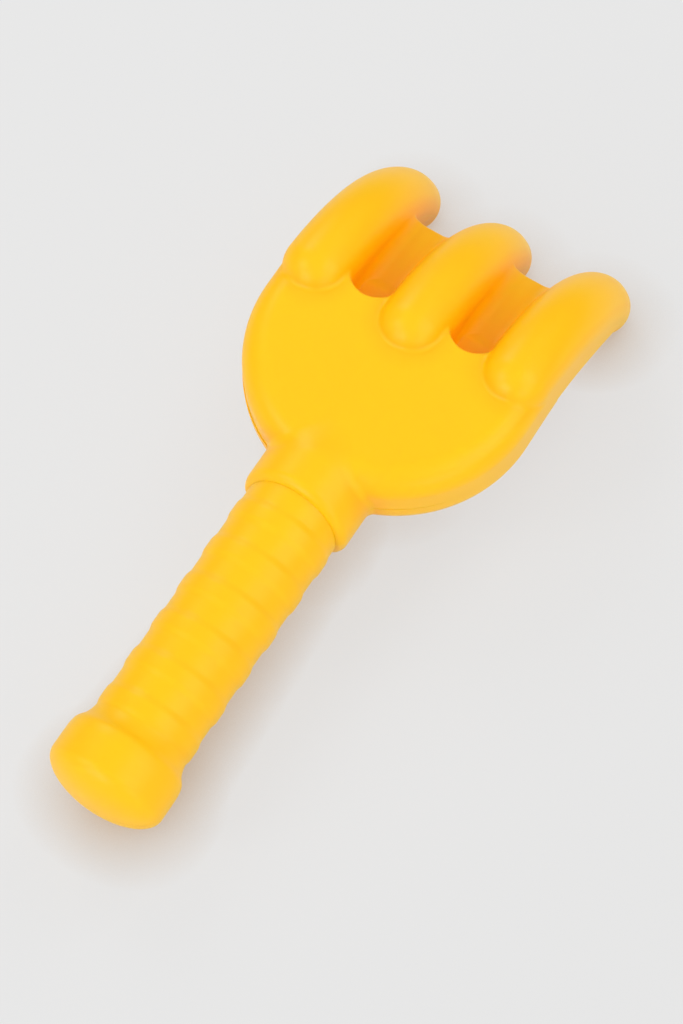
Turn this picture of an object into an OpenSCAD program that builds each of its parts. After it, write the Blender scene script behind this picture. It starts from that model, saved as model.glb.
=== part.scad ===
// Sand rake: a hand-shaped head in two shells that close over the front end of a ribbed grip in two halves.
// Everything is drawn with the handle axis along Y and the parting plane at zero height, tines towards +Y.
// The whole is then tilted a little, so that the knob and the three tine tips stand on the floor.

/* [Grip] */
// Diameter over the ribs
grip_d = 28.6; // [25:0.1:31]
// Length of grip between the collar and the knob
grip_l = 71.5; // [60:0.5:90]
// How far each rib stands out
rib_h = 0.6; // [0.3:0.1:1]
// Number of ribs
rib_count = 6; // [3:1:7]
// Width of a rib's crest along the grip
rib_w = 5; // [3:0.1:6]
// Length of the slope on each side of a rib
rib_slope = 1.4; // [0.6:0.1:1.6]
// Distance from the collar to the middle of the first rib
rib_lead = 6.6; // [5:0.1:8]
// Distance from the middle of the last rib to the knob
rib_tail = 4.4; // [4.2:0.1:7]

/* [Knob] */
// Diameter of the knob
knob_d = 34; // [32:0.1:38]
// Length of the slope from the grip to the knob
flare_l = 7.1; // [5:0.1:10]
// Length of the knob's straight part
knob_l = 7.3; // [4:0.1:12]
// Depth of the rounded end
dome_l = 8.1; // [6:0.1:12]

/* [Collar and spigot] */
// Diameter of the collar
collar_d = 32; // [31.5:0.1:36]
// Distance that the collar stands out behind the palm
collar_l = 10; // [6:0.1:16]
// Size of the broken edge round the collar's mouth
collar_edge = 1.2; // [0.6:0.1:1.5]
// Length over which the collar runs out into the palm
collar_blend = 14; // [10:0.5:18]
// Length of the grip's spigot inside the collar
spigot_l = 14; // [13:0.1:16]
// Width of the bead round the spigot's end
bead_w = 2.4; // [1.5:0.1:3]
// How far the bead stands out
bead_h = 1.1; // [0.6:0.1:1.2]
// Width of the key that stops the grip turning
key_w = 4; // [3:0.1:6]
// How far the key reaches into the bead
key_h = 0.9; // [0.5:0.1:1]

/* [Palm] */
// Height of the palm's flat face above the parting plane
palm_top = 14; // [12:0.1:15]
// Depth of the palm's underside below the parting plane
palm_low = 11.5; // [10.5:0.1:14]
// Length of the palm's straight sides, from its round back to the channels
palm_side = 17; // [12:0.5:24]
// Rounding of the upper edge
edge_top = 7.7; // [4:0.1:10]
// Rounding of the lower edge
edge_low = 9; // [4:0.1:10]
// How far the rim stands out at the parting plane
rim_w = 0.7; // [0.3:0.1:1.2]
// Half the thickness of the rim
rim_t = 0.6; // [0.4:0.1:1.2]

/* [Tines] */
// Distance from tine to tine
tine_pitch = 31.5; // [28:0.1:36]
// Diameter of a tine
tine_d = 19.6; // [17:0.1:21]
// Radius of the arch that the tine's centre line follows
arch_r = 56; // [50:0.5:62]
// Height of the centre line at the top of the arch, above the parting plane
arch_h = 10.2; // [8:0.1:12]
// Distance from the middle of the palm's round back to the top of the arch
arch_y = 2.8; // [0:0.1:6]
// Angle along the arch at which the tine starts
arch_start = 6.6; // [4:0.1:12]
// Angle along the arch at which the tine ends
arch_end = 67; // [60:0.5:75]
// How much further the outer tines reach
tine_reach = 1.6; // [0:0.1:4]
// How far the flat flanks stand back from the tine's full width
flank_inset = 0.15; // [0.1:0.05:0.4]
// Radius of the round end of each channel
channel_r = 7.7; // [7:0.1:8.5]
// Distance that the web runs forward from the middle of a channel's round end
web_l = 25; // [20:0.5:30]
// Thickness of the web in one shell
web_t = 1.5; // [1:0.1:2.5]

/* [Shells] */
// Wall thickness
wall = 1.8; // [1.4:0.1:2.4]
// Diameter of the bosses
boss_d = 7; // [6:0.1:9]
// Diameter of the locating pegs
peg_d = 3.6; // [2.5:0.1:4]
// Length of the locating pegs
peg_l = 5; // [3:0.5:7]
// Thickness of the cross ribs
stay_t = 1.6; // [1:0.1:2.5]
// Height of the inner lip above the seam
lip_h = 1.4; // [0.8:0.1:2.5]
// Thickness of the inner lip
lip_t = 1; // [0.8:0.1:1.5]
// Clearance between pieces that plug together
fit_gap = 0.15; // [0.1:0.05:0.3]

/* [Hidden] */
$fn = 72;
// Steps of each rounding that is drawn as an outline
arc_steps = 8;
dome_steps = 14;
// Steps of the parting line along a tine
parting_steps = 2;
// Overrun of every cut
over = 1;
// How much wider the ball at each end of a tine is than the tine
ball_swell = 0.06;
toy_yellow = [1, 0.78, 0.18];

// Radii and widths
rib_r = grip_d / 2;
grip_r = rib_r - rib_h;
knob_r = knob_d / 2;
collar_r = collar_d / 2;
bore_r = grip_r + fit_gap;
bead_r = grip_r + bead_h;
tine_r = tine_d / 2;
flank_r = tine_r - flank_inset;
palm_r = tine_pitch + tine_r;
// The collar's two run-outs end just under the palm's faces
blend_sink = 0.5;
tine_places = [-1, 0, 1];

// Places along the handle, from the middle of the palm's round back
collar_y = -palm_r - collar_l;
spigot_y = collar_y + spigot_l;
bead_y = spigot_y - bead_w;
seat_y = bead_y - fit_gap;
run_out_y = -palm_r + collar_blend;
neck_y = collar_y - grip_l;
knob_y = neck_y - flare_l - knob_l;
channel_y = palm_side;
web_y = channel_y + web_l;
rib_pitch = (grip_l - rib_lead - rib_tail) / (rib_count - 1);
arch_z = arch_h - arch_r;
whole = palm_r + arch_r + collar_l + grip_l + flare_l + knob_l + dome_l;

// Places of the bosses in the palm, as shares of the palm's radius
boss_shares = [[-0.55, -0.5], [0.55, -0.5], [-0.45, 0], [0.45, 0]];
// Places of the bosses in the grip, as shares of its length
stay_shares = [0.12, 0.5, 0.88];
// Angles that the seam's lip covers on each side, as shares of a half turn
lip_shares = [0.02, 0.34];

// Resting attitude
tip_y = arch_y + arch_r * sin(arch_end);
tip_z = arch_z + arch_r * cos(arch_end);
rest_reach = norm([tip_y - knob_y, tip_z]);
rest_lean = atan2(tip_z, tip_y - knob_y);
function oval(across, along, a) = norm([across * cos(a), along * sin(a)]);
function tilt_step(n, a) = n == 0 ? a
    : tilt_step(n - 1, asin((tine_r - oval(knob_r, dome_l, a)) / rest_reach) - rest_lean);
rest_a = tilt_step(4, 0);
rest_z = tine_r - tip_y * sin(rest_a) - tip_z * cos(rest_a);
front_y = tip_y * cos(rest_a) - tip_z * sin(rest_a) + tine_reach + tine_r;
rear_y = knob_y * cos(rest_a) - oval(dome_l, knob_r, rest_a);
rest_y = -(front_y + rear_y) / 2;

// Points of an arc about a centre
function arc_points(cx, cy, r, a0, a1, steps) =
    [for (i = [0:steps]) let (a = a0 + (a1 - a0) * i / steps) [cx + r * cos(a), cy + r * sin(a)]];
// Points of the tine's centre line, from the side
function arch_points(dy, dz, a0, a1, steps) =
    arc_points(arch_y + dy, arch_z + dz, arch_r, 90 - a0, 90 - a1, steps);

// Shift of a tine along the floor
function tine_dy(place) = abs(place) * tine_reach * cos(rest_a);
function tine_dz(place) = -abs(place) * tine_reach * sin(rest_a);
// Angle at which a tine's centre line passes the parting plane
function cross_a(place) = acos(-(arch_z + tine_dz(place)) / arch_r);
cross_y = arch_y + arch_r * sin(cross_a(0));

// Outline of the knob, in from the surface by some depth
function knob_points(depth) = concat(
    [for (i = [0:arc_steps]) let (t = i / arc_steps)
        [grip_r - depth + (knob_r - grip_r) * (1 - cos(180 * t)) / 2, neck_y - flare_l * t]],
    [for (i = [0:dome_steps]) let (a = 90 * i / dome_steps)
        [(knob_r - depth) * cos(a), knob_y - (dome_l - depth) * sin(a)]]);
function rib_points() = [for (i = [0:rib_count - 1]) let (y = collar_y - rib_lead - i * rib_pitch)
    each [[grip_r, y + rib_w / 2 + rib_slope], [rib_r, y + rib_w / 2],
        [rib_r, y - rib_w / 2], [grip_r, y - rib_w / 2 - rib_slope]]];
function grip_outside() = concat(
    [[0, spigot_y], [bead_r, spigot_y], [bead_r, bead_y], [grip_r, bead_y]], rib_points(), knob_points(0));
function grip_inside(depth) = concat(
    [[0, spigot_y + over], [grip_r - depth, spigot_y + over]], knob_points(depth));

// Outline of one side of the palm, in from the surface by some depth. Like every body of the
// head, it runs on past the parting plane, where the parting line then cuts it.
function palm_points(h, edge, depth) = concat(
    [[0, -over]],
    depth > 0
        ? [[palm_r - depth, -over]]
        : [[palm_r + rim_w, -over], [palm_r + rim_w, rim_t], [palm_r, rim_t]],
    arc_points(palm_r - edge, h - edge, edge - depth, 0, 90, arc_steps),
    [[0, h - depth]]);
// The same outline with its mirror image
function both_sides(points) = concat(
    [for (p = points) p], [for (i = [len(points) - 2:-1:1]) [-points[i][0], points[i][1]]]);

// Puts the whole rake on the floor
module rest() {
    translate([0, rest_y, rest_z])
        rotate([rest_a, 0, 0])
            children();
}

module upside_down() {
    mirror([0, 0, 1])
        children();
}

// A round solid about the handle axis, whole or its lower half
module turned(points, angle = 360) {
    rotate([-90, 0, 0])
        rotate_extrude(angle = angle)
            polygon(points);
}

// A solid seen from the side, across the given width
module across(width, points) {
    translate([-width / 2, 0, 0])
        rotate([90, 0, 90])
            linear_extrude(width)
                polygon(points);
}

// One half of the palm's body, above the parting plane
module palm_body(h, edge, depth = 0) {
    points = palm_points(h, edge, depth);
    rotate([0, 0, 180])
        rotate_extrude(angle = 180)
            polygon(points);
    translate([0, channel_y - depth, 0])
        rotate([90, 0, 0])
            linear_extrude(channel_y - depth)
                polygon(both_sides(points));
}

// Round ends of the two channels, from a given height up
module channel_ends(r, z) {
    for (side = [-1, 1])
        translate([side * tine_pitch / 2, channel_y, z])
            cylinder(r = r, h = palm_top + over - z);
}

module at_tine(place) {
    translate([place * tine_pitch, tine_dy(place), tine_dz(place)])
        children();
}

// Arched tine with its two round ends
module arch(depth = 0) {
    r = tine_r - depth;
    translate([0, arch_y, arch_z])
        rotate([0, 90, 0]) {
            rotate([0, 0, 180 - arch_end])
                rotate_extrude(angle = arch_end - arch_start)
                    translate([arch_r, 0])
                        circle(r);
            for (a = [arch_start, arch_end])
                rotate([0, 0, 180 - a])
                    translate([arch_r, 0, 0])
                        sphere(r + ball_swell);
        }
}

// Flat-sided body under the tine, down to the parting plane
module tine_root(place, depth = 0) {
    line = arch_points(tine_dy(place), tine_dz(place), arch_start, cross_a(place), arc_steps);
    translate([place * tine_pitch, 0, 0])
        across(2 * (flank_r - depth), concat([[line[0][0], -over]], line, [[line[arc_steps][0], -over]]));
}

// Round-bottomed body under the tine, below the parting plane
module tine_belly(place, depth = 0) {
    r = flank_r - depth;
    translate([place * tine_pitch, tine_dy(place), 0])
        turned(concat([[0, arch_y], [r, arch_y]], arc_points(0, cross_y - tine_r, r, 0, 90, arc_steps)));
}

// Collar with its run-out into the palm
module collar(h) {
    turned([[0, collar_y], [collar_r - collar_edge, collar_y], [collar_r, collar_y + collar_edge],
        [collar_r, spigot_y + 2 * over], [h - blend_sink, run_out_y], [0, run_out_y]]);
}

// Room inside the run-out, wide enough for the spigot's bead
module collar_room(h) {
    turned([[0, seat_y], [bead_r + fit_gap, seat_y], [bead_r + fit_gap, spigot_y + over],
        [h - blend_sink - wall, run_out_y], [0, run_out_y]]);
}

// Wall round the grip's spigot, which ends in the seat of the bead
module collar_tube() {
    turned([[0, collar_y + collar_edge], [collar_r - collar_edge, collar_y + collar_edge],
        [collar_r - collar_edge, seat_y], [0, seat_y]], 180);
}

module collar_bore() {
    turned([[0, collar_y - over], [bore_r, collar_y - over], [bore_r, seat_y + over], [0, seat_y + over]]);
}

// Everything above or below the parting line, tine by tine
module parting_side(up) {
    for (place = tine_places) {
        dy = tine_dy(place);
        dz = tine_dz(place);
        line = arch_points(dy, dz, cross_a(place), arch_end, parting_steps);
        past = [tip_y + dy + (tine_r + over) * cos(arch_end), tip_z + dz - (tine_r + over) * sin(arch_end)];
        bound = up
            ? [[whole, past[1]], [whole, whole], [-whole, whole]]
            : [[past[0], -whole], [-whole, -whole]];
        translate([place * (tine_pitch + tine_r / 2), 0, 0])
            across(tine_pitch + abs(place) * tine_r, concat([[-whole, 0]], line, [past], bound));
    }
}

// Web plates between the tines
module web(front) {
    width = tine_pitch - 2 * (tine_r - wall);
    for (side = [-1, 1])
        translate([side * tine_pitch / 2 - width / 2, channel_y, 0])
            cube([width, front - channel_y, web_t]);
}

module at_bosses() {
    for (share = boss_shares)
        translate([share[0] * palm_r, share[1] * palm_r, 0])
            children();
}

module at_stays() {
    for (share = stay_shares)
        translate([0, collar_y - share * grip_l, 0])
            children();
}

// Cross rib of the palm, between its two rear bosses
module palm_stay(h) {
    width = (boss_shares[1][0] - boss_shares[0][0]) * palm_r;
    translate([-width / 2, boss_shares[0][1] * palm_r - stay_t / 2, 0])
        cube([width, stay_t, h - wall / 2]);
}

// Lip inside the seam of the palm, rooted on the lower shell's wall
module palm_lip() {
    outer = palm_r - wall - fit_gap;
    for (side = [0, 1])
        mirror([side, 0, 0])
            rotate([0, 0, -180 * lip_shares[1]])
                rotate_extrude(angle = 180 * (lip_shares[1] - lip_shares[0]))
                    polygon([[outer - lip_t, lip_h], [outer - lip_t, -2 * lip_h],
                        [palm_r - wall / 2, -2 * lip_h], [palm_r - wall / 2, -fit_gap],
                        [outer, -fit_gap], [outer, lip_h]]);
}

// Lips inside the seam of the grip, rooted on the lower half's wall
module grip_lips() {
    outer = sqrt(pow(grip_r - wall, 2) - pow(lip_h, 2)) - fit_gap;
    for (side = [0, 1])
        mirror([side, 0, 0])
            translate([0, neck_y, 0])
                rotate([-90, 0, 0])
                    linear_extrude(grip_l)
                        polygon([[outer - lip_t, -lip_h], [outer - lip_t, 2 * lip_h],
                            [grip_r - wall / 2, 2 * lip_h], [grip_r - wall / 2, fit_gap],
                            [outer, fit_gap], [outer, -lip_h]]);
}

// Pegs below the parting plane, and the sockets that take them
module peg() {
    translate([0, 0, -peg_l])
        cylinder(d = peg_d, h = peg_l + over);
}

module socket() {
    translate([0, 0, -peg_l - over])
        cylinder(d = peg_d + 2 * fit_gap, h = peg_l + 2 * over);
}

module head_top() {
    color(toy_yellow)
        rest() {
            difference() {
                union() {
                    difference() {
                        union() {
                            difference() {
                                palm_body(palm_top, edge_top);
                                channel_ends(channel_r, web_t);
                            }
                            collar(palm_top);
                            for (place = tine_places) {
                                tine_root(place);
                                at_tine(place)
                                    arch();
                            }
                        }
                        difference() {
                            palm_body(palm_top, edge_top, wall);
                            channel_ends(channel_r + wall, -2 * over);
                        }
                        collar_room(palm_top);
                        for (place = tine_places) {
                            tine_root(place, wall);
                            at_tine(place)
                                arch(wall);
                        }
                        parting_side(false);
                    }
                    upside_down()
                        collar_tube();
                    web(web_y);
                }
                collar_bore();
            }
            at_bosses() {
                cylinder(d = boss_d, h = palm_top - wall / 2);
                peg();
            }
            palm_stay(palm_top);
        }
}

module head_bottom() {
    color(toy_yellow)
        rest() {
            difference() {
                union() {
                    difference() {
                        union() {
                            upside_down()
                                difference() {
                                    palm_body(palm_low, edge_low);
                                    channel_ends(channel_r, web_t);
                                }
                            collar(palm_low);
                            for (place = tine_places) {
                                tine_belly(place);
                                at_tine(place)
                                    arch();
                            }
                        }
                        upside_down()
                            difference() {
                                palm_body(palm_low, edge_low, wall);
                                channel_ends(channel_r + wall, -2 * over);
                            }
                        collar_room(palm_low);
                        for (place = tine_places) {
                            tine_belly(place, wall);
                            at_tine(place)
                                arch(wall);
                        }
                        parting_side(true);
                    }
                    collar_tube();
                    upside_down() {
                        web(cross_y - wall);
                        at_bosses()
                            cylinder(d = boss_d, h = palm_low - wall / 2);
                        palm_stay(palm_low);
                    }
                    palm_lip();
                }
                collar_bore();
                at_bosses()
                    socket();
            }
            translate([-key_w / 2, seat_y - over, -collar_r + collar_edge / 2])
                cube([key_w, spigot_y + over - seat_y, collar_r - collar_edge / 2 - bead_r + key_h]);
        }
}

// Half shell of the grip, below the parting plane, with its cross ribs
module grip_half() {
    difference() {
        turned(grip_outside(), 180);
        turned(grip_inside(wall));
    }
    intersection() {
        turned(grip_inside(wall / 2), 180);
        at_stays()
            union() {
                translate([0, 0, -grip_r])
                    cylinder(d = boss_d, h = grip_r);
                translate([-grip_r, -stay_t / 2, -grip_r])
                    cube([2 * grip_r, stay_t, grip_r]);
            }
    }
}

module grip_top() {
    color(toy_yellow)
        rest() {
            upside_down()
                difference() {
                    grip_half();
                    upside_down()
                        grip_lip_room();
                }
            at_stays()
                peg();
        }
}

// Room for the lower half's lips in the upper half's cross ribs
module grip_lip_room() {
    for (side = [-1, 1])
        translate([side * (grip_r - wall - lip_t) - lip_t, neck_y - over, -over])
            cube([2 * lip_t, grip_l + 2 * over, lip_h + over + fit_gap]);
}

module grip_bottom() {
    color(toy_yellow)
        rest()
            difference() {
                union() {
                    grip_half();
                    grip_lips();
                }
                at_stays()
                    socket();
                translate([-key_w / 2 - fit_gap, bead_y - over, -bead_r - over])
                    cube([key_w + 2 * fit_gap, bead_w + 2 * over, over + key_h + fit_gap]);
            }
}

head_top();
head_bottom();
grip_top();
grip_bottom();
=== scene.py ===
"""Sand rake: a three-tined head in two shells on a ribbed grip, lying on its knob and its tine tips.

Shapes are drawn in millimetres with the handle's axis along Y and the parting plane at zero height,
as the part's own solids are drawn, and are then laid in the resting attitude in metres.
"""

import logging
import math
from dataclasses import dataclass, field
from enum import Enum
from typing import Callable, Sequence

import bpy
import numpy as np
from mathutils import Matrix, Vector


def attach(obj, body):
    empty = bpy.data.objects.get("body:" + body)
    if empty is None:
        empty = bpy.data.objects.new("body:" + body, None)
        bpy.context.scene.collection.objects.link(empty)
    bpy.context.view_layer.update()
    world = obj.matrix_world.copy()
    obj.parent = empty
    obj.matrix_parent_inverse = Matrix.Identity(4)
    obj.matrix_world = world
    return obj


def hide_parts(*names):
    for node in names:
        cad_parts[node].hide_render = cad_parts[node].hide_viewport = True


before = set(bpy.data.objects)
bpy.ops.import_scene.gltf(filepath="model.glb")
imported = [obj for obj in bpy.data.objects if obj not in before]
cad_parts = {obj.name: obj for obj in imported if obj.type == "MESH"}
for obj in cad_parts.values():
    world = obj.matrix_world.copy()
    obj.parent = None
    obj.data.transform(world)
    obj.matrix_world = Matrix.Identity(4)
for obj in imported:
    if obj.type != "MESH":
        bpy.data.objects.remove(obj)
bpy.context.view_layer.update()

LOG = logging.getLogger("sand_rake")
MM = 0.001
Field = Callable[[np.ndarray], np.ndarray]
Point = tuple[float, float, float]

# Lean of the handle as the rake lies, in radians
LEAN = math.radians(4.99507)

# Mesh of the head in millimetres: voxel, farthest move in one pass, share of evening out in a pass,
# least slope that a form may have, and last passes that only move points onto the form
VOXEL = 0.47
FARTHEST_MOVE = 0.8
EVENING = 0.6
LEAST_SLOPE = 0.2
CLOSING_PASSES = 2

# Bend that counts as a full edge, and reach and share at which a place counts as fully hollow and takes the
# full painted shade
EDGE_BEND = 0.09
RECESS_SHADE_REACH = 12.0
RECESS_SHADE_FULL = 0.6


class Half(Enum):
    """Which side of the parting plane a shell lies on."""

    UPPER = 1
    LOWER = -1


# Modelling steps


def deselect() -> None:
    """Leaves edit mode and deselects every object."""
    if bpy.context.object and bpy.context.object.mode != "OBJECT":
        bpy.ops.object.mode_set(mode="OBJECT")
    bpy.ops.object.select_all(action="DESELECT")


def take(name: str) -> bpy.types.Object:
    """Names the primitive that was just added.

    Args:
        name: name for the object and its mesh.

    Returns:
        The active object.
    """
    piece = bpy.context.object
    piece.name = name
    piece.data.name = name
    return piece


def pick(piece: bpy.types.Object) -> None:
    """Makes a piece the only selected object and the active one."""
    deselect()
    piece.select_set(True)
    bpy.context.view_layer.objects.active = piece


def settle_place(piece: bpy.types.Object) -> None:
    """Writes an object's place, turn and scale into its mesh."""
    pick(piece)
    bpy.ops.object.transform_apply(location=True, rotation=True, scale=True)


def join(pieces: Sequence[bpy.types.Object], name: str) -> bpy.types.Object:
    """Joins several objects into one.

    Args:
        pieces: objects to join; the first one stays.
        name: name of the result.

    Returns:
        The joined object.
    """
    deselect()
    for piece in pieces:
        piece.select_set(True)
    bpy.context.view_layer.objects.active = pieces[0]
    bpy.ops.object.join()
    return take(name)


def copy_of(piece: bpy.types.Object, name: str) -> bpy.types.Object:
    """Copies a piece with a mesh of its own."""
    twin = piece.copy()
    twin.data = piece.data.copy()
    twin.name = name
    twin.data.name = name
    bpy.context.scene.collection.objects.link(twin)
    return twin


def discard(*pieces: bpy.types.Object) -> None:
    """Removes tool bodies that have done their work."""
    for piece in pieces:
        bpy.data.objects.remove(piece)


def combine(piece: bpy.types.Object, tool: bpy.types.Object, operation: str) -> None:
    """Applies a Boolean modifier to a piece.

    Args:
        piece: object that is changed.
        tool: object that it is combined with.
        operation: DIFFERENCE, INTERSECT or UNION.
    """
    pick(piece)
    step = piece.modifiers.new("combine", "BOOLEAN")
    step.object = tool
    step.operation = operation
    step.solver = "MANIFOLD"
    bpy.ops.object.modifier_apply(modifier=step.name)


def add_box(low: Point, high: Point, name: str) -> bpy.types.Object:
    """Adds a box between two corners.

    Args:
        low: lowest corner in millimetres.
        high: highest corner.
        name: name of the object.

    Returns:
        The box, with its place in its mesh.
    """
    deselect()
    middle = [(a + b) / 2 for a, b in zip(low, high)]
    bpy.ops.mesh.primitive_cube_add(size=1, location=middle, scale=[b - a for a, b in zip(low, high)])
    box = take(name)
    settle_place(box)
    return box


def add_rod(radius: float, start: Point, end: Point, name: str, sides: int = 96) -> bpy.types.Object:
    """Adds a cylinder between two points.

    Args:
        radius: its radius in millimetres.
        start: middle of one end.
        end: middle of the other end.
        name: name of the object.
        sides: number of sides.

    Returns:
        The cylinder, with its place in its mesh.
    """
    deselect()
    a, b = Vector(start), Vector(end)
    turn = (b - a).to_track_quat("Z", "Y").to_euler()
    bpy.ops.mesh.primitive_cylinder_add(
        vertices=sides, radius=radius, depth=(b - a).length, location=(a + b) / 2, rotation=turn
    )
    rod = take(name)
    settle_place(rod)
    return rod


def add_ball(radius: float, centre: Point, name: str) -> bpy.types.Object:
    """Adds a ball with its place in its mesh."""
    deselect()
    bpy.ops.mesh.primitive_uv_sphere_add(segments=64, ring_count=32, radius=radius, location=centre)
    ball = take(name)
    settle_place(ball)
    return ball


def cut_away(piece: bpy.types.Object, point: Point, normal: Point) -> None:
    """Cuts off what lies on a plane's far side and closes the cut.

    Args:
        piece: object that is cut.
        point: a point of the plane.
        normal: direction of the side that is removed.
    """
    pick(piece)
    bpy.ops.object.mode_set(mode="EDIT")
    bpy.ops.mesh.select_all(action="SELECT")
    bpy.ops.mesh.bisect(plane_co=point, plane_no=normal, use_fill=True, clear_outer=True)
    bpy.ops.object.mode_set(mode="OBJECT")


def select_faces(piece: bpy.types.Object, wanted: Callable[[Vector, Vector], bool]) -> None:
    """Selects faces by their place and normal and leaves the piece in face mode.

    Args:
        piece: object in object mode.
        wanted: gets a face's centre and normal and says whether it is selected.
    """
    pick(piece)
    bpy.ops.object.mode_set(mode="EDIT")
    bpy.ops.mesh.select_mode(type="FACE")
    bpy.ops.mesh.select_all(action="DESELECT")
    bpy.ops.object.mode_set(mode="OBJECT")
    for face in piece.data.polygons:
        face.select = wanted(face.center, face.normal)
    bpy.ops.object.mode_set(mode="EDIT")


# Rounded forms


def union(a: np.ndarray, b: np.ndarray, r: float | np.ndarray) -> np.ndarray:
    """Distance to two bodies that meet in a hollow rounding.

    Args:
        a: distances to the first body.
        b: distances to the second body.
        r: radius of the rounding.

    Returns:
        Distances to both together.
    """
    return np.maximum(r, np.minimum(a, b)) - np.hypot(np.maximum(r - a, 0), np.maximum(r - b, 0))


def overlap(a: np.ndarray, b: np.ndarray, r: float | np.ndarray) -> np.ndarray:
    """Distance to what two bodies share, with its edge rounded.

    Args:
        a: distances to the first body.
        b: distances to the second body.
        r: radius of the rounding.

    Returns:
        Distances to the shared body.
    """
    return np.minimum(-r, np.maximum(a, b)) + np.hypot(np.maximum(r + a, 0), np.maximum(r + b, 0))


def ease(x: np.ndarray, start: float, end: float) -> np.ndarray:
    """Smooth step from 0 at start to 1 at end."""
    t = np.clip((x - start) / (end - start), 0, 1)
    return t * t * (3 - 2 * t)


def slope(form: Field, points: np.ndarray, reach: float = 0.02) -> np.ndarray:
    """Gradient of a form, from four nearby samples.

    Args:
        form: distance function.
        points: where it is wanted, one row each.
        reach: distance of the samples in millimetres.

    Returns:
        One gradient per row.
    """
    corners = np.array([[1, -1, -1], [-1, -1, 1], [-1, 1, -1], [1, 1, 1]], float)
    total = np.zeros_like(points)
    for corner in corners:
        total += corner * form(points + reach * corner)[:, None]
    return total / (4 * reach)


def settle_on(piece: bpy.types.Object, form: Field, rounds: int) -> None:
    """Draws a piece's surface onto a form, evens out its mesh and notes its edges and a mask of its
    hollows, used as painted shade.

    Args:
        piece: object whose vertices are moved.
        form: distance function that gives the finished surface.
        rounds: number of passes.
    """
    mesh = piece.data
    count = len(mesh.vertices)
    points = np.empty(count * 3)
    mesh.vertices.foreach_get("co", points)
    points = points.reshape(-1, 3)
    pairs = np.empty(len(mesh.edges) * 2, np.int32)
    mesh.edges.foreach_get("vertices", pairs)
    pairs = pairs.reshape(-1, 2)
    ends = np.concatenate([pairs[:, 0], pairs[:, 1]])
    others = np.concatenate([pairs[:, 1], pairs[:, 0]])
    degree = np.maximum(np.bincount(ends, minlength=count), 1)

    def pull(p: np.ndarray) -> np.ndarray:
        """Vector from each vertex to the middle of its neighbours."""
        sums = [np.bincount(ends, weights=p[others, axis], minlength=count) for axis in range(3)]
        return np.stack(sums, 1) / degree[:, None] - p

    for step in range(rounds):
        normal = slope(form, points)
        size = np.linalg.norm(normal, axis=1, keepdims=True)
        size = np.maximum(size, LEAST_SLOPE)
        normal /= size
        shift = np.clip(form(points)[:, None] / size, -FARTHEST_MOVE, FARTHEST_MOVE)
        points -= normal * shift
        if step < rounds - CLOSING_PASSES:
            relax = pull(points)
            relax -= normal * np.sum(relax * normal, 1, keepdims=True)
            points += EVENING * relax
    curve = -np.sum(pull(points) * slope(form, points), 1)
    mesh.vertices.foreach_set("co", points.ravel())
    mesh.update()
    edge = mesh.attributes.new("edge", "FLOAT", "POINT")
    edge.data.foreach_set("value", np.clip(curve / EDGE_BEND, 0, 1).astype(np.float32))
    # Painted shade mask: how closely the body closes over each place, which darkens recesses to a deeper
    # orange in the material
    outward = slope(form, points)
    outward /= np.maximum(np.linalg.norm(outward, axis=1, keepdims=True), LEAST_SLOPE)
    shut = 1 - form(points + outward * RECESS_SHADE_REACH) / RECESS_SHADE_REACH
    painted_recess_shade = mesh.attributes.new("painted_recess_shade", "FLOAT", "POINT")
    painted_recess_shade.data.foreach_set("value", np.clip(shut / RECESS_SHADE_FULL, 0, 1).astype(np.float32))


@dataclass(frozen=True)
class Parting:
    """Surface along which the head's shells meet: level at the back, then an arc down to the front."""

    start: float = 14.0
    radius: float = 56.8

    def height(self, y: np.ndarray) -> np.ndarray:
        """Height of the surface along the handle's axis."""
        ahead = np.clip(y - self.start, 0, self.radius - 1)
        return np.sqrt(self.radius**2 - ahead**2) - self.radius


PARTING = Parting()


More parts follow.
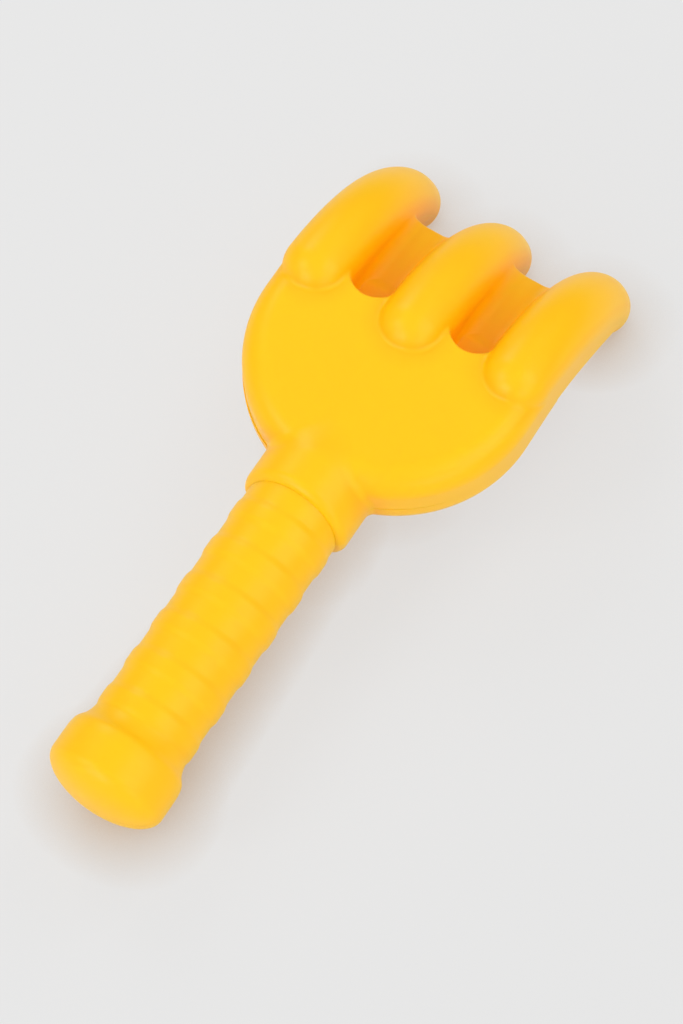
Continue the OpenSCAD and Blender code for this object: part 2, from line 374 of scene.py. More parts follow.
@dataclass(frozen=True)
class Tine:
    """One arched tine: a round body that follows an arc, with upright flanks under it and a round belly."""

    place: int
    pitch: float = 31.5
    arch_y: float = 2.8
    arch_z: float = -45.8
    arch_r: float = 56.0
    start: float = math.radians(6.6)
    end: float = math.radians(69.0)
    radius: float = 9.8
    tip_radius: float = 8.05
    taper_from: float = 0.4
    reach: float = 1.6
    belly_end: float = 25.2
    belly_blend: float = 2.5
    flank_low: float = 3.2
    flank_fall: float = 0.11
    flank_edge: float = 2.0
    flank_back: float = 3.0
    rough_fall: float = 0.33
    turns: int = 36
    sides: int = 48
    arch_sides: int = 160

    @property
    def x(self) -> float:
        """Sideways place of the tine."""
        return self.place * self.pitch

    @property
    def y(self) -> float:
        """Place of the arc's middle along the handle."""
        return self.arch_y + abs(self.place) * self.reach * math.cos(LEAN)

    @property
    def z(self) -> float:
        """Height of the arc's middle."""
        return self.arch_z - abs(self.place) * self.reach * math.sin(LEAN)

    def centre(self, angle: float) -> Point:
        """Point of the centre line at an angle along the arc."""
        return (self.x, self.y + self.arch_r * math.sin(angle), self.z + self.arch_r * math.cos(angle))

    def form(self, p: np.ndarray) -> np.ndarray:
        """Distances to the tine.

        Args:
            p: points, one row each.

        Returns:
            One distance per row.
        """
        x = p[:, 0] - self.x
        y = p[:, 1] - self.y
        z = p[:, 2] - self.z
        angle = np.clip(np.arctan2(y, z), self.start, self.end)
        share = (angle - self.start) / (self.end - self.start)
        bend = np.clip((share - self.taper_from) / (1 - self.taper_from), 0, 1)
        radius = self.radius - (self.radius - self.tip_radius) * bend**2
        away = np.hypot(y - self.arch_r * np.sin(angle), z - self.arch_r * np.cos(angle))
        tube = np.hypot(x, away) - radius
        fall = self.flank_fall * np.maximum(p[:, 1] - PARTING.start, 0)
        below = PARTING.height(p[:, 1]) - self.flank_low - fall - p[:, 2]
        behind = np.minimum(y - self.arch_r * math.sin(self.start), 0)
        flank = overlap(np.hypot(x, behind) - radius, below, self.flank_edge)
        flank = np.maximum(flank, np.hypot(y, z) - self.arch_r)
        along = p[:, 1] - np.clip(p[:, 1], self.arch_y, self.belly_end)
        belly = np.sqrt(x**2 + along**2 + p[:, 2] ** 2) - self.radius
        middle = np.clip(1 - (x / self.radius) ** 2, 0.03, 1)
        return union(np.minimum(tube, flank), belly, self.belly_blend * middle)

    def rough(self) -> list[bpy.types.Object]:
        """Blocks out the tine with solids a little simpler than its form.

        Returns:
            The overlapping solids.
        """
        first = self.centre(self.start)
        deselect()
        bpy.ops.mesh.primitive_circle_add(
            vertices=self.sides,
            radius=self.radius,
            fill_type="NGON",
            location=first,
            rotation=(math.pi / 2, 0, 0),
        )
        body = take("tine_body")
        settle_place(body)
        bpy.ops.object.mode_set(mode="EDIT")
        bpy.ops.mesh.select_all(action="SELECT")
        bpy.ops.transform.rotate(
            value=self.start, orient_axis="X", orient_type="GLOBAL", center_override=first
        )
        bpy.ops.mesh.spin(
            steps=self.turns, angle=self.end - self.start, center=(self.x, self.y, self.z), axis=(1, 0, 0)
        )
        bpy.ops.mesh.select_all(action="SELECT")
        bpy.ops.mesh.normals_make_consistent(inside=False)
        bpy.ops.object.mode_set(mode="OBJECT")
        side = add_rod(
            self.arch_r,
            (self.x - self.radius, self.y, self.z),
            (self.x + self.radius, self.y, self.z),
            "tine_side",
            sides=self.arch_sides,
        )
        cut_away(side, (0, PARTING.start, -self.flank_low), (0, -self.rough_fall, -1))
        cut_away(side, (0, self.flank_back, 0), (0, -1, 0))
        belly = add_rod(self.radius, (self.x, self.arch_y, 0), (self.x, self.belly_end, 0), "tine_belly")
        balls = [
            add_ball(self.radius, first, "tine_start"),
            add_ball(self.tip_radius, self.centre(self.end), "tine_tip"),
            add_ball(self.radius, (self.x, self.belly_end, 0), "belly_end"),
        ]
        return [body, side, belly] + balls


@dataclass(frozen=True)
class Palm:
    """Flat body of the head with the two channels and the web that closes them."""

    radius: float = 41.3
    depth: float = 40.6
    front: float = 17.0
    top: float = 14.0
    low: float = 11.5
    edge_top: float = 7.6
    edge_low: float = 9.0
    channel_x: float = 15.75
    channel_r: float = 7.7
    channel_edge: float = 0.55
    web: float = 1.5
    web_back: float = 6.0
    web_fronts: tuple[float, float] = (44.1, 46.1)
    web_edge: float = 0.3
    rim: float = 0.45
    rim_shift: float = 0.25
    rim_fade: tuple[float, float] = (-14.0, 2.0)
    rough_edge: float = 0.35
    web_steps: tuple[float, ...] = (18.0, 7.0, 0.0)
    sides: int = 128

    def outline(self, x: np.ndarray, y: np.ndarray) -> np.ndarray:
        """Distances to the palm's outline, seen from above."""
        back = np.hypot(x, np.minimum(y, 0) * self.radius / self.depth) - self.radius
        return np.maximum(back, y - self.front)

    def form(self, p: np.ndarray, half: Half) -> np.ndarray:
        """Distances to the palm, without its web.

        Args:
            p: points, one row each.
            half: the lower shell stands out a little at the parting plane.

        Returns:
            One distance per row.
        """
        x, y, z = p.T
        if half is Half.UPPER:
            side = self.outline(x, y)
        else:
            side = self.outline(x + self.rim_shift, y)
            side = side - (self.rim - self.rim_shift) * ease(-y, *self.rim_fade)
        height = np.where(z > 0, self.top, self.low)
        edge = np.where(z > 0, self.edge_top, self.edge_low)
        a = side + edge
        b = np.abs(z) - height + edge
        slab = np.hypot(np.maximum(a, 0), np.maximum(b, 0)) + np.minimum(np.maximum(a, b), 0) - edge
        slot = np.hypot(np.abs(x) - self.channel_x, np.minimum(y - self.front, 0)) - self.channel_r
        slot = np.maximum(slot, self.web - np.abs(z - PARTING.height(y)))
        return overlap(slab, -slot, self.channel_edge)

    def web_form(self, p: np.ndarray) -> np.ndarray:
        """Distances to the web plates, taken as endless toward the front."""
        x, y, z = p.T
        flat = np.maximum(np.abs(np.abs(x) - self.channel_x) - self.channel_r, self.web_back - y)
        return np.maximum(flat, np.abs(z - PARTING.height(y)) - self.web)

    def web_ahead(self, p: np.ndarray) -> np.ndarray:
        """Distances ahead of the web's front edges."""
        return p[:, 1] - np.where(p[:, 0] < 0, self.web_fronts[0], self.web_fronts[1])

    def rough(self) -> list[bpy.types.Object]:
        """Blocks out the palm and its web.

        Returns:
            The overlapping solids.
        """
        slab = add_rod(self.radius, (0, 0, -self.low), (0, 0, self.top), "palm_slab", sides=self.sides)
        bpy.ops.object.mode_set(mode="EDIT")
        bpy.ops.mesh.select_all(action="DESELECT")
        bpy.ops.object.mode_set(mode="OBJECT")
        for vertex in slab.data.vertices:
            vertex.select = vertex.co.y > 0.5
        bpy.ops.object.mode_set(mode="EDIT")
        bpy.ops.mesh.select_mode(type="VERT")
        bpy.ops.transform.resize(value=(1, 0, 1), center_override=(0, self.front, 0))
        bpy.ops.object.mode_set(mode="OBJECT")
        for low, high in ((self.web, self.top + 1), (-self.low - 1, -self.web)):
            for side in (-1, 1):
                x = side * self.channel_x
                tool = add_rod(self.channel_r, (x, self.front, low), (x, self.front, high), "channel_tool")
                combine(slab, tool, "DIFFERENCE")
                discard(tool)
        for edge, sign in ((self.edge_top, 1), (self.edge_low, -1)):
            height = self.top if sign > 0 else self.low
            select_faces(
                slab, lambda centre, normal: normal.z * sign > 0.9 and centre.z * sign > height - 0.1
            )
            bpy.ops.mesh.inset(thickness=edge * self.rough_edge, depth=0)
            bpy.ops.object.mode_set(mode="OBJECT")
        webs = []
        for side, front in zip((-1, 1), self.web_fronts):
            inner = side * (self.channel_x - self.channel_r)
            outer = side * (self.channel_x + self.channel_r)
            low = (min(inner, outer), self.web_back, -self.web)
            high = (max(inner, outer), PARTING.start, self.web)
            plate = add_box(low, high, "web_plate")
            select_faces(plate, lambda centre, normal: normal.y > 0.9)
            last = PARTING.start
            for y in (front - step for step in self.web_steps):
                fall = float(PARTING.height(np.array(y)) - PARTING.height(np.array(last)))
                move = {"value": (0, y - last, fall)}
                bpy.ops.mesh.extrude_region_move(TRANSFORM_OT_translate=move)
                last = y
            bpy.ops.object.mode_set(mode="OBJECT")
            webs.append(plate)
        return [slab] + webs


@dataclass(frozen=True)
class Collar:
    """Round socket behind the palm that takes the grip."""

    radius: float = 16.0
    end: float = -51.3
    level_from: float = -38.0
    sink_to: float = -25.0
    sunk_top: float = 13.0
    sunk_low: float = 10.6
    edge: float = 2.6
    slant: float = 0.2
    bore: float = 13.895
    bore_depth: float = 5.8
    bore_sides: int = 180
    sides: int = 128

    def reach(self, y: np.ndarray, half: Half) -> np.ndarray:
        """Radius of the collar along its length."""
        sunk = self.sunk_top if half is Half.UPPER else self.sunk_low
        return self.radius - (self.radius - sunk) * ease(y, self.level_from, self.sink_to)

    def form(self, p: np.ndarray, half: Half) -> np.ndarray:
        """Distances to the collar's outside.

        Args:
            p: points, one row each.
            half: shell whose run-out is wanted.

        Returns:
            One distance per row.
        """
        x, y, z = p.T
        round_part = np.hypot(x, z) - self.reach(y, half)
        end = self.end + self.slant * np.maximum(z, 0)
        return overlap(round_part, np.maximum(end - y, y - self.sink_to), self.edge)

    def rough(self) -> bpy.types.Object:
        """Blocks out the collar."""
        return add_rod(self.radius, (0, self.end, 0), (0, self.sink_to, 0), "collar_body", sides=self.sides)

    def bore_tool(self) -> bpy.types.Object:
        """Body of the room that takes the grip."""
        start, end = (0, self.end - 1, 0), (0, self.end + self.bore_depth, 0)
        return add_rod(self.bore, start, end, "bore_tool", sides=self.bore_sides)


@dataclass(frozen=True)
class Rest:
    """Resting attitude of the whole rake on the floor."""

    y: float = 38.6292
    z: float = 28.8961

    def matrix(self) -> Matrix:
        """Takes millimetres along the handle to metres on the floor."""
        place = Matrix.Translation((0, self.y * MM, self.z * MM))
        return place @ Matrix.Rotation(LEAN, 4, "X") @ Matrix.Scale(MM, 4)

    def lay(self, piece: bpy.types.Object) -> None:
        """Lays a finished piece on the floor, with its place in its mesh."""
        piece.data.transform(self.matrix())
        piece.data.update()


@dataclass
class Head:
    """The two shells of the head."""

    palm: Palm = field(default_factory=Palm)
    collar: Collar = field(default_factory=Collar)
    tines: tuple[Tine, ...] = field(default_factory=lambda: (Tine(-1), Tine(0), Tine(1)))
    blend: float = 0.9
    web_blend: float = 4.0
    collar_blend: float = 1.6
    seam: float = 0.012
    passes: int = 10
    side_margin: float = 0.9
    side_fade: float = 4.0
    side_least: float = 0.03
    tool_half: float = 60.0
    tool_back: float = 80.0
    tool_low: float = 70.0
    tool_sides: int = 720

    def form(self, half: Half) -> Field:
        """Surface of the closed head.

        Args:
            half: shell for which the surface is exact.

        Returns:
            Its distance function.
        """

        def distance(p: np.ndarray) -> np.ndarray:
            """Distances of points, one row each, to the head."""
            tines = np.minimum.reduce([tine.form(p) for tine in self.tines])
            inward = (self.palm.radius - self.side_margin - np.abs(p[:, 0])) / self.side_fade
            inward = np.clip(inward, self.side_least, 1)
            body = union(self.palm.form(p, half), tines, self.blend * inward)
            webbed = union(body, self.palm.web_form(p), self.web_blend)
            body = np.minimum(body, overlap(webbed, self.palm.web_ahead(p), self.palm.web_edge))
            return union(body, self.collar.form(p, half), self.collar_blend)

        return distance

    def block_out(self) -> bpy.types.Object:
        """Joins the rough solids and fuses them into one skin.

        Returns:
            The closed body of the head.
        """
        solids = self.palm.rough() + [self.collar.rough()]
        for tine in self.tines:
            solids += tine.rough()
        body = join(solids, "head_body")
        step = body.modifiers.new("fuse", "REMESH")
        step.mode = "VOXEL"
        step.voxel_size = VOXEL
        pick(body)
        bpy.ops.object.modifier_apply(modifier=step.name)
        return body

    def parting_tool(self, gap: float) -> bpy.types.Object:
        """Body that fills everything below the parting line.

        Args:
            gap: how far it reaches past the parting line.

        Returns:
            The tool body.
        """
        line, half = self.tines[0], self.tool_half
        arch = ((self.tines[0].y + self.tines[1].y) / 2, line.z)
        axis = (PARTING.start, -PARTING.radius)
        drum = add_rod(line.arch_r + gap, (-half, *arch), (half, *arch), "parting_tool", self.tool_sides)
        radius = PARTING.radius + gap
        under = add_rod(radius, (-half, *axis), (half, *axis), "parting_drum", self.tool_sides)
        combine(drum, under, "INTERSECT")
        low = (-half, -self.tool_back, -self.tool_low)
        block = add_box(low, (half, PARTING.start, gap), "parting_block")
        combine(drum, block, "UNION")
        discard(under, block)
        return drum

    def build(self, rest: Rest) -> dict[str, bpy.types.Object]:
        """Models both shells.

        Args:
            rest: attitude in which they are laid down.

        Returns:
            The shells by the names of the solids that they stand for.
        """
        upper = self.block_out()
        upper.name = "head_top_shell"
        lower = copy_of(upper, "head_bottom_shell")
        settle_on(upper, self.form(Half.UPPER), self.passes)
        settle_on(lower, self.form(Half.LOWER), self.passes)
        below = self.parting_tool(self.seam)
        combine(upper, below, "DIFFERENCE")
        inside = self.parting_tool(-self.seam)
        combine(lower, inside, "INTERSECT")
        bore = self.collar.bore_tool()
        shells = {"head_top": upper, "head_bottom": lower}
        for shell in shells.values():
            combine(shell, bore, "DIFFERENCE")
            finish_shading(shell)
            rest.lay(shell)
        discard(below, inside, bore)
        return shells


def finish_shading(piece: bpy.types.Object, angle: float = 62.0) -> None:
    """Smooths a piece's shading except across its cut edges.

    Args:
        piece: object to shade.
        angle: angle in degrees from which an edge stays crisp.
    """
    pick(piece)
    bpy.ops.object.shade_smooth_by_angle(angle=math.radians(angle))


@dataclass
class Grip:
    """The two halves of the ribbed grip with its knob."""

    start: float = -45.6
    valley: float = 13.87
    crest: float = 14.36
    ribs: tuple[float, ...] = (-57.9, -70.0, -82.1, -94.2, -106.3, -118.4)
    rib_half: float = 2.3
    rib_slope: float = 1.7
    knob: tuple[tuple[float, float], ...] = (
        (-120.9, 13.87),
        (-122.8, 14.1),
        (-125.4, 15.0),
        (-127.4, 16.4),
        (-129.5, 16.9),
        (-132.0, 17.0),
        (-137.2, 17.0),
    )
    dome: float = 8.0
    step: float = 0.4
    dome_steps: int = 28
    turns: int = 72
    seam: float = 0.05
    crest_wear: float = 0.5
    crest_wear_width: float = 0.8
    seam_wear_width: float = 0.5
    crisp_from: float = 50.0

    def radius(self, y: np.ndarray) -> np.ndarray:
        """Radius of the grip along its length, as far as the dome."""
        r = np.full_like(y, self.valley)
        for rib in self.ribs:
            away = np.abs(y - rib)
            bump = 1 - ease(away, self.rib_half - self.rib_slope / 2, self.rib_half + self.rib_slope)
            r = r + (self.crest - self.valley) * bump
        ys = np.array([-k[0] for k in self.knob])
        rs = np.array([k[1] for k in self.knob])
        tangents = np.gradient(rs, ys)
        t = -y
        index = np.clip(np.searchsorted(ys, t) - 1, 0, len(ys) - 2)
        width = ys[index + 1] - ys[index]
        s = np.clip((t - ys[index]) / width, 0, 1)
        curve = (
            (2 * s**3 - 3 * s**2 + 1) * rs[index]
            + (s**3 - 2 * s**2 + s) * width * tangents[index]
            + (3 * s**2 - 2 * s**3) * rs[index + 1]
            + (s**3 - s**2) * width * tangents[index + 1]
        )
        return np.where(t > ys[0], np.maximum(curve, r), r)

    def profile(self) -> list[tuple[float, float]]:
        """Outline of the grip from the socket to the end of the dome.

        Returns:
            Pairs of radius and place along the handle.
        """
        knob_y = self.knob[-1][0]
        knob_r = self.knob[-1][1]
        ys = np.linspace(self.start, knob_y, int((self.start - knob_y) / self.step))
        points = [(float(r), float(y)) for r, y in zip(self.radius(ys), ys)]
        for i in range(1, self.dome_steps + 1):
            a = math.pi / 2 * i / self.dome_steps
            points.append((knob_r * math.cos(a), knob_y - self.dome * math.sin(a)))
        points[-1] = (0.0, knob_y - self.dome)
        return [(0.0, self.start)] + points

    def half(self, side: Half, name: str) -> bpy.types.Object:
        """Models one half of the grip by extruding its outline and spinning it.

        Args:
            side: half above or below the parting plane.
            name: name of the piece.

        Returns:
            The closed half.
        """
        points = self.profile()
        deselect()
        bpy.ops.mesh.primitive_plane_add(size=1, location=(0, points[0][1], 0))
        piece = take(name)
        settle_place(piece)
        bpy.ops.object.mode_set(mode="EDIT")
        bpy.ops.mesh.select_mode(type="VERT")
        bpy.ops.mesh.select_all(action="SELECT")
        bpy.ops.mesh.merge(type="CENTER")
        for (r0, y0), (r1, y1) in zip(points, points[1:]):
            bpy.ops.mesh.extrude_region_move(TRANSFORM_OT_translate={"value": (r1 - r0, y1 - y0, 0)})
        bpy.ops.mesh.select_all(action="SELECT")
        turn = math.pi if side is Half.UPPER else -math.pi
        bpy.ops.mesh.spin(steps=self.turns, angle=turn, center=(0, 0, 0), axis=(0, 1, 0))
        bpy.ops.mesh.select_all(action="SELECT")
        bpy.ops.mesh.remove_doubles(threshold=0.001)
        bpy.ops.mesh.select_all(action="DESELECT")
        bpy.ops.mesh.select_mode(type="EDGE")
        bpy.ops.mesh.select_non_manifold()
        bpy.ops.mesh.edge_face_add()
        bpy.ops.mesh.select_all(action="SELECT")
        bpy.ops.mesh.normals_make_consistent(inside=False)
        bpy.ops.object.mode_set(mode="OBJECT")
        sign = side.value
        cut_away(piece, (0, 0, sign * self.seam), (0, 0, -sign))
        points_z = [v.co.z * sign for v in piece.data.vertices]
        LOG.info("%s spans %.2f to %.2f mm from the parting plane", name, min(points_z), max(points_z))
        edge = piece.data.attributes.new("edge", "FLOAT", "POINT")
        values = []
        for vertex in piece.data.vertices:
            near_crest = min(abs(abs(vertex.co.y - rib) - self.rib_half) for rib in self.ribs)
            crest = self.crest_wear * max(0.0, 1 - near_crest / self.crest_wear_width)
            seam = max(0.0, 1 - (abs(vertex.co.z) - self.seam) / self.seam_wear_width)
            values.append(max(crest, seam))
        edge.data.foreach_set("value", np.array(values, np.float32))
        return piece

    def build(self, rest: Rest) -> dict[str, bpy.types.Object]:
        """Models both halves.

        Args:
            rest: attitude in which they are laid down.

        Returns:
            The halves by the names of the solids that they stand for.
        """
        halves = {
            "grip_top": self.half(Half.UPPER, "grip_top_half"),
            "grip_bottom": self.half(Half.LOWER, "grip_bottom_half"),
        }
        for piece in halves.values():
            finish_shading(piece, self.crisp_from)
            rest.lay(piece)
        return halves


# Finishes


class Graph:
    """Short hand for adding and linking the nodes of one tree."""

    def __init__(self, tree: bpy.types.NodeTree) -> None:
        """Takes the tree that is built.

        Args:
            tree: material tree or node group.
        """
        self.tree = tree

    def add(
        self, kind: str, inputs: dict[str | int, object] | None = None, **settings: object
    ) -> bpy.types.Node:
        """Adds a node.

        Args:
            kind: node type without its ShaderNode prefix.
            inputs: plain values or output sockets by input name or number.
            settings: attributes of the node.

        Returns:
            The node.
        """
        node = self.tree.nodes.new(kind if kind.startswith("Node") else "ShaderNode" + kind)
        for key, value in settings.items():
            setattr(node, key, value)
        for key, value in (inputs or {}).items():
            if isinstance(value, bpy.types.NodeSocket):
                self.tree.links.new(value, node.inputs[key])
            else:
                node.inputs[key].default_value = value
        return node

    def maths(
        self, operation: str, a: object, b: object = 0.0, clamp: bool = False
    ) -> bpy.types.NodeSocket:
        """Adds a Math node and returns its result."""
        return self.add("Math", {0: a, 1: b}, operation=operation, use_clamp=clamp).outputs[0]

    def noise(self, place: object, scale: float, detail: float = 2.0) -> bpy.types.NodeSocket:
        """Adds a noise on a place and returns its value."""
        return self.add("TexNoise", {"Vector": place, "Scale": scale, "Detail": detail}).outputs["Fac"]

    def blend(self, share: object, first: object, second: object) -> bpy.types.NodeSocket:
        """Mixes two colours.

        Args:
            share: mask at whose full value the second one shows.
            first: colour or colour socket.
            second: colour or colour socket.

        Returns:
            The mixed colour.
        """
        ends = {6: first, 7: second}
        colours = {key: (*end, 1) if isinstance(end, tuple) else end for key, end in ends.items()}
        return self.add("Mix", {0: share, **colours}, data_type="RGBA").outputs[2]


def skin_group() -> bpy.types.ShaderNodeTree:
    """Builds the effect of a moulded skin: fine grain, faint flow ripples and handling marks.

    Returns:
        The node group, with a height and a mask as outputs.
    """
    tree = bpy.data.node_groups.new("moulded_skin", "ShaderNodeTree")
    face = tree.interface
    face.new_socket("Vector", in_out="INPUT", socket_type="NodeSocketVector")
    for name, value in (("Grain", 0.5), ("Ripple", 0.5), ("Marks", 0.5)):
        face.new_socket(name, in_out="INPUT", socket_type="NodeSocketFloat").default_value = value
    face.new_socket("Height", in_out="OUTPUT", socket_type="NodeSocketFloat")
    face.new_socket("Mask", in_out="OUTPUT", socket_type="NodeSocketFloat")
    graph = Graph(tree)
    source = graph.add("NodeGroupInput").outputs
    grain = graph.noise(source["Vector"], 2600.0)
    ripple = graph.noise(source["Vector"], 95.0, 1.0)
    stretch = graph.add("Mapping", {"Vector": source["Vector"], "Scale": (1.0, 0.16, 1.0)})
    stretch.inputs["Rotation"].default_value = (0.0, 0.0, 0.5)
    marks = graph.noise(stretch.outputs[0], 900.0, 3.0)
    patch = graph.noise(source["Vector"], 38.0, 3.0)
    lines = graph.add("MapRange", {"Value": marks, "From Min": 0.6, "From Max": 0.72}).outputs[0]
    zones = graph.add("MapRange", {"Value": patch, "From Min": 0.42, "From Max": 0.66}).outputs[0]
    scuffs = graph.maths("MULTIPLY", graph.maths("MULTIPLY", lines, zones), source["Marks"])
    fine = graph.maths("MULTIPLY", grain, source["Grain"])
    broad = graph.maths("MULTIPLY", ripple, source["Ripple"])
    height = graph.maths("SUBTRACT", graph.maths("ADD", fine, broad), graph.maths("MULTIPLY", scuffs, 0.3))
    mask = graph.maths("ADD", graph.maths("MULTIPLY", zones, 0.35), scuffs, clamp=True)
    graph.add("NodeGroupOutput", {"Height": height, "Mask": mask})
    return tree


def wear_group() -> bpy.types.ShaderNodeTree:
    """Builds the effect of edges rubbed a little paler, broken up by a noise.

    Returns:
        The node group, with a mask as output.
    """
    tree = bpy.data.node_groups.new("rubbed_edges", "ShaderNodeTree")
    face = tree.interface
    face.new_socket("Vector", in_out="INPUT", socket_type="NodeSocketVector")
    face.new_socket("Edge", in_out="INPUT", socket_type="NodeSocketFloat")
    face.new_socket("Strength", in_out="INPUT", socket_type="NodeSocketFloat").default_value = 0.5
    face.new_socket("Mask", in_out="OUTPUT", socket_type="NodeSocketFloat")
    graph = Graph(tree)
    source = graph.add("NodeGroupInput").outputs
    noise = graph.noise(source["Vector"], 260.0, 4.0)
    broken = graph.add("MapRange", {"Value": noise, "From Min": 0.35, "From Max": 0.75}).outputs[0]
    rim = graph.add("MapRange", {"Value": source["Edge"], "From Min": 0.25, "From Max": 0.9}).outputs[0]
    mask = graph.maths("MULTIPLY", graph.maths("MULTIPLY", rim, broken), source["Strength"], clamp=True)
    graph.add("NodeGroupOutput", {"Mask": mask})
    return tree


@dataclass(frozen=True)
class MouldedPlastic:
    """Glossy coloured plastic as it comes out of a mould, with shade painted into its recesses."""

    name: str
    base: Point = (0.99, 0.53, 0.001)
    deep: Point = (0.99, 0.515, 0.001)
    worn: Point = (0.99, 0.57, 0.01)
    # Painted shade: deeper orange laid into the channels and other recesses, where shade falls
    painted_recess_shade: Point = (0.99, 0.45, 0.0)
    roughness: float = 0.37
    mark_roughness: float = 0.16
    grain: float = 0.3
    ripple: float = 0.5
    marks: float = 0.35
    wear: float = 0.3
    bump: float = 0.06
    bump_depth: float = 0.0004
    index: float = 1.5
    gloss: float = 0.27
    glow: float = 0.3
    glow_depth: float = 0.0012
    glow_reach: Point = (1.0, 0.7, 0.1)

    def build(self, skin: bpy.types.ShaderNodeTree, rubbed: bpy.types.ShaderNodeTree) -> bpy.types.Material:
        """Builds the material.

        Args:
            skin: node group of the moulded skin.
            rubbed: node group of the rubbed edges.

        Returns:
            The material.
        """
        material = bpy.data.materials.new(self.name)
        material.use_nodes = True
        tree = material.node_tree
        graph = Graph(tree)
        shader = tree.nodes["Principled BSDF"]
        place = graph.add("TexCoord").outputs["Object"]
        edge = graph.add("Attribute", attribute_name="edge").outputs["Fac"]
        skin_node = graph.add("Group", node_tree=skin)
        tree.links.new(place, skin_node.inputs["Vector"])
        for key, value in (("Grain", self.grain), ("Ripple", self.ripple), ("Marks", self.marks)):
            skin_node.inputs[key].default_value = value
        wear_node = graph.add("Group", node_tree=rubbed)
        tree.links.new(place, wear_node.inputs["Vector"])
        tree.links.new(edge, wear_node.inputs["Edge"])
        wear_node.inputs["Strength"].default_value = self.wear
        flow = graph.noise(place, 22.0)
        tone = graph.add("MapRange", {"Value": flow, "From Min": 0.3, "From Max": 0.7}).outputs[0]
        painted_recess_shade = graph.add("Attribute", attribute_name="painted_recess_shade").outputs["Fac"]
        colour = graph.blend(tone, self.base, self.deep)
        colour = graph.blend(wear_node.outputs["Mask"], colour, self.worn)
        # Painted shade: recesses take the deeper orange
        colour = graph.blend(painted_recess_shade, colour, self.painted_recess_shade)
        dull = self.roughness + self.mark_roughness
        rough = graph.add(
            "MapRange", {"Value": skin_node.outputs["Mask"], "To Min": self.roughness, "To Max": dull}
        ).outputs[0]
        relief = graph.add(
            "Bump",
            {"Strength": self.bump, "Distance": self.bump_depth, "Height": skin_node.outputs["Height"]},
        ).outputs[0]
        tree.links.new(colour, shader.inputs["Base Color"])
        tree.links.new(rough, shader.inputs["Roughness"])
        tree.links.new(relief, shader.inputs["Normal"])
        shader.inputs["IOR"].default_value = self.index
        shader.inputs["Specular IOR Level"].default_value = self.gloss
        shader.inputs["Subsurface Weight"].default_value = self.glow
        shader.inputs["Subsurface Radius"].default_value = self.glow_reach
        shader.inputs["Subsurface Scale"].default_value = self.glow_depth
        return material


def dress(piece: bpy.types.Object, material: bpy.types.Material) -> None:
    """Gives a piece one material."""
    piece.data.materials.clear()
    piece.data.materials.append(material)


# Studio


@dataclass(frozen=True)
class Softbox:
    """One large soft lamp, aimed at the object."""

    name: str
    azimuth: float
    height: float
    distance: float
    width: float
    tall: float
    watts: float
    lights_floor: bool = True
    reflected: bool = True

    def place(self, target: Vector) -> None:
        """Adds the lamp.

        Args:
            target: point that it is aimed at.
        """
        lamp = bpy.data.lights.new(self.name, "AREA")
        lamp.shape = "RECTANGLE"
        lamp.size = self.width
        lamp.size_y = self.tall
        lamp.energy = self.watts
        obj = bpy.data.objects.new(self.name, lamp)
        bpy.context.scene.collection.objects.link(obj)
        az, el = math.radians(self.azimuth), math.radians(self.height)
        way = Vector((math.sin(az) * math.cos(el), math.cos(az) * math.cos(el), math.sin(el)))
        obj.location = target + way * self.distance
        obj.rotation_euler = way.to_track_quat("Z", "Y").to_euler()
        obj.visible_glossy = self.reflected


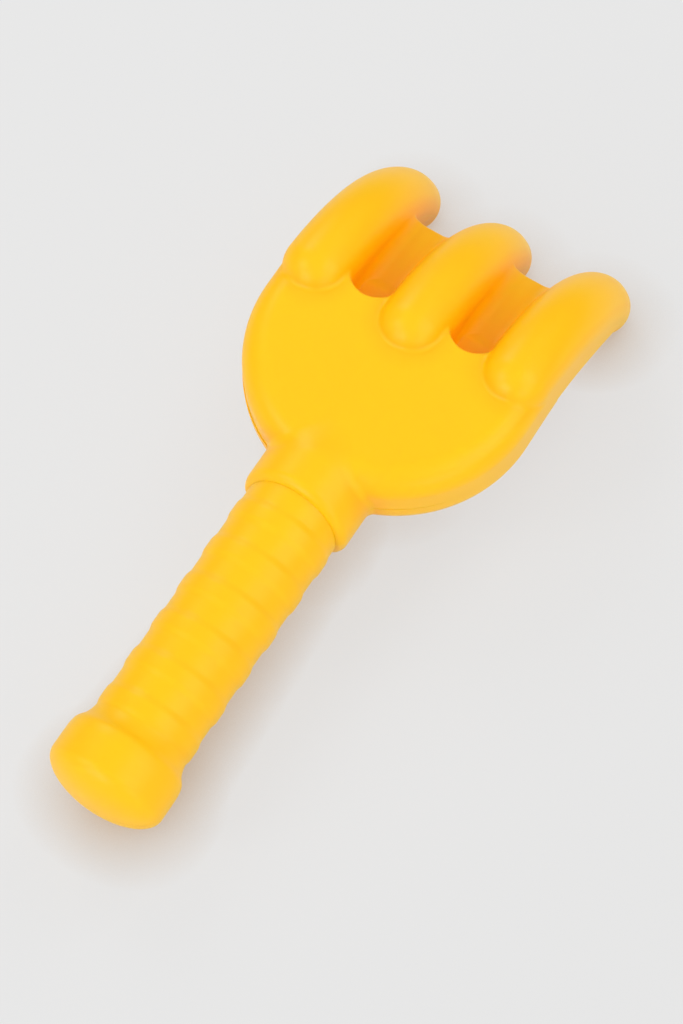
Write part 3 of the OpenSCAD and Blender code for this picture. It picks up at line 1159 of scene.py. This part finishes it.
@dataclass(frozen=True)
class Studio:
    """Pale floor with a painted contact shadow, soft light and the camera."""

    floor_grey: float = 0.9
    backdrop: float = 0.8
    backdrop_share: float = 0.8
    # Painted shadow: warm tint and reach of the contact shadow painted into the floor's backdrop glow near
    # the object
    painted_shadow_tint: Point = (0.55, 0.32, 0.12)
    painted_shadow_reach: float = 0.0165
    painted_shadow_samples: int = 5
    floor_size: float = 8.0
    paper_grain: float = 0.004
    paper_scale: float = 700.0
    room: float = 0.607
    ceiling: float = 0.75
    ceiling_from: float = 0.6
    ceiling_to: float = 0.85
    target: Point = (0.0, 0.0, 0.02)
    camera_place: Point = (0.20325181, -0.29973585, 0.73678923)
    camera_back: Point = (0.24300142, -0.37256784, 0.89562465)
    camera_right: Point = (0.83758756, 0.5463031, 0.0)
    focal_pixels: float = 3000.0
    frame_height: float = 1024.0
    sensor: float = 24.0
    near_clip: float = 0.01
    softboxes: tuple[Softbox, ...] = (
        Softbox("left_softbox", -57, 38, 1.5, 0.5, 0.5, 3.2),
        Softbox("rear_left_softbox", -135, 40, 1.5, 0.5, 0.5, 3.3),
        Softbox("rear_softbox", -171, 23, 1.5, 0.7, 0.5, 3.1),
        Softbox("far_softbox", 4, 41, 1.5, 0.5, 0.5, 2.3, reflected=False),
        Softbox("far_right_softbox", 44, 56, 1.5, 0.5, 0.5, 1.2, lights_floor=False, reflected=False),
        Softbox("right_softbox", 86, 42, 1.5, 1.2, 1.1, 6.6, lights_floor=False),
        Softbox("low_softbox", 126, 18, 1.5, 0.7, 0.5, 2.6, lights_floor=False),
    )

    def light(self) -> None:
        """Adds the lamps and the even light of the room."""
        for box in self.softboxes:
            box.place(Vector(self.target))
        world = bpy.data.worlds.new("studio")
        bpy.context.scene.world = world
        world.use_nodes = True
        graph = Graph(world.node_tree)
        gloss = graph.add("LightPath").outputs["Is Glossy Ray"]
        rise = graph.add("SeparateXYZ", {0: graph.add("TexCoord").outputs["Generated"]}).outputs["Z"]
        span = {"From Min": self.ceiling_from, "From Max": self.ceiling_to, "To Max": self.ceiling}
        ceiling = graph.add("MapRange", {"Value": rise, **span}).outputs[0]
        level = graph.add("MapRange", {"Value": gloss, "To Min": self.room, "To Max": ceiling}).outputs[0]
        shade = world.node_tree.nodes["Background"]
        shade.inputs["Color"].default_value = (1, 1, 1, 1)
        world.node_tree.links.new(level, shade.inputs["Strength"])

    def spare_floor(self, pieces: Sequence[bpy.types.Object]) -> None:
        """Lets some lamps light only the object, so that they cast no shadow on the floor.

        Args:
            pieces: the object's pieces.
        """
        lit = bpy.data.collections.new("lit_pieces")
        for piece in pieces:
            lit.objects.link(piece)
        for box in self.softboxes:
            if not box.lights_floor:
                bpy.data.objects[box.name].light_linking.receiver_collection = lit

    def floor(self) -> None:
        """Adds the floor, with a fine paper grain and a warm contact shadow painted into its backdrop glow
        near the object.
        """
        deselect()
        bpy.ops.mesh.primitive_plane_add(size=self.floor_size)
        sheet = take("floor")
        material = bpy.data.materials.new("paper_floor")
        material.use_nodes = True
        graph = Graph(material.node_tree)
        shader = material.node_tree.nodes["Principled BSDF"]
        place = graph.add("TexCoord").outputs["Object"]
        low, high = self.floor_grey - self.paper_grain, self.floor_grey + self.paper_grain
        tone = graph.blend(graph.noise(place, self.paper_scale), (low,) * 3, (high,) * 3)
        material.node_tree.links.new(tone, shader.inputs["Base Color"])
        shader.inputs["Roughness"].default_value = 1.0
        shader.inputs["Specular IOR Level"].default_value = 0.0
        # Painted shadow: the backdrop glow darkens to a warm tint where the object closes in over the floor
        open_sky = graph.add(
            "AmbientOcclusion", {"Distance": self.painted_shadow_reach}, samples=self.painted_shadow_samples
        ).outputs["AO"]
        painted_shadow_colour = tuple(self.backdrop * part for part in self.painted_shadow_tint)
        lit = graph.blend(open_sky, painted_shadow_colour, (self.backdrop,) * 3)
        glow = graph.add("Emission", {"Color": lit, "Strength": 1.0}).outputs[0]
        path = graph.add("LightPath").outputs
        seen = graph.maths("ADD", path["Is Camera Ray"], path["Is Glossy Ray"])
        seen = graph.maths("ADD", seen, path["Is Transmission Ray"], clamp=True)
        share = graph.maths("MULTIPLY", seen, self.backdrop_share)
        mixed = graph.add("MixShader", {0: share, 1: shader.outputs[0], 2: glow}).outputs[0]
        material.node_tree.links.new(mixed, material.node_tree.nodes["Material Output"].inputs["Surface"])
        dress(sheet, material)

    def camera(self) -> None:
        """Adds the camera at the photograph's place."""
        data = bpy.data.cameras.new("camera")
        data.sensor_fit = "VERTICAL"
        data.sensor_height = self.sensor
        data.lens = self.focal_pixels / self.frame_height * data.sensor_height
        data.clip_start = self.near_clip
        obj = bpy.data.objects.new("camera", data)
        bpy.context.scene.collection.objects.link(obj)
        back, right = Vector(self.camera_back).normalized(), Vector(self.camera_right).normalized()
        up = back.cross(right)
        turn = Matrix((right, up, back)).transposed().to_4x4()
        obj.matrix_world = Matrix.Translation(self.camera_place) @ turn
        bpy.context.scene.camera = obj

    def build(self) -> None:
        """Sets up the whole studio."""
        self.floor()
        self.light()
        self.camera()
        bpy.context.scene.view_settings.view_transform = "Standard"


def main() -> None:
    """Builds the studio and the rake, and reports each piece."""
    logging.basicConfig(level=logging.INFO, format="%(name)s: %(message)s")
    studio = Studio()
    studio.build()
    rest = Rest()
    pieces = []
    skin, rubbed = skin_group(), wear_group()
    finishes = {
        "head": MouldedPlastic("head_plastic").build(skin, rubbed),
        "grip": MouldedPlastic("grip_plastic", roughness=0.38, marks=0.6).build(skin, rubbed),
    }
    for slot, assembly in (("head", Head()), ("grip", Grip())):
        for node, piece in assembly.build(rest).items():
            dress(piece, finishes[slot])
            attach(piece, "root")
            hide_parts(node)
            pieces.append(piece)
            LOG.info("%s: %d faces", piece.name, len(piece.data.polygons))
    studio.spare_floor(pieces)


if __name__ == "__main__":
    main()
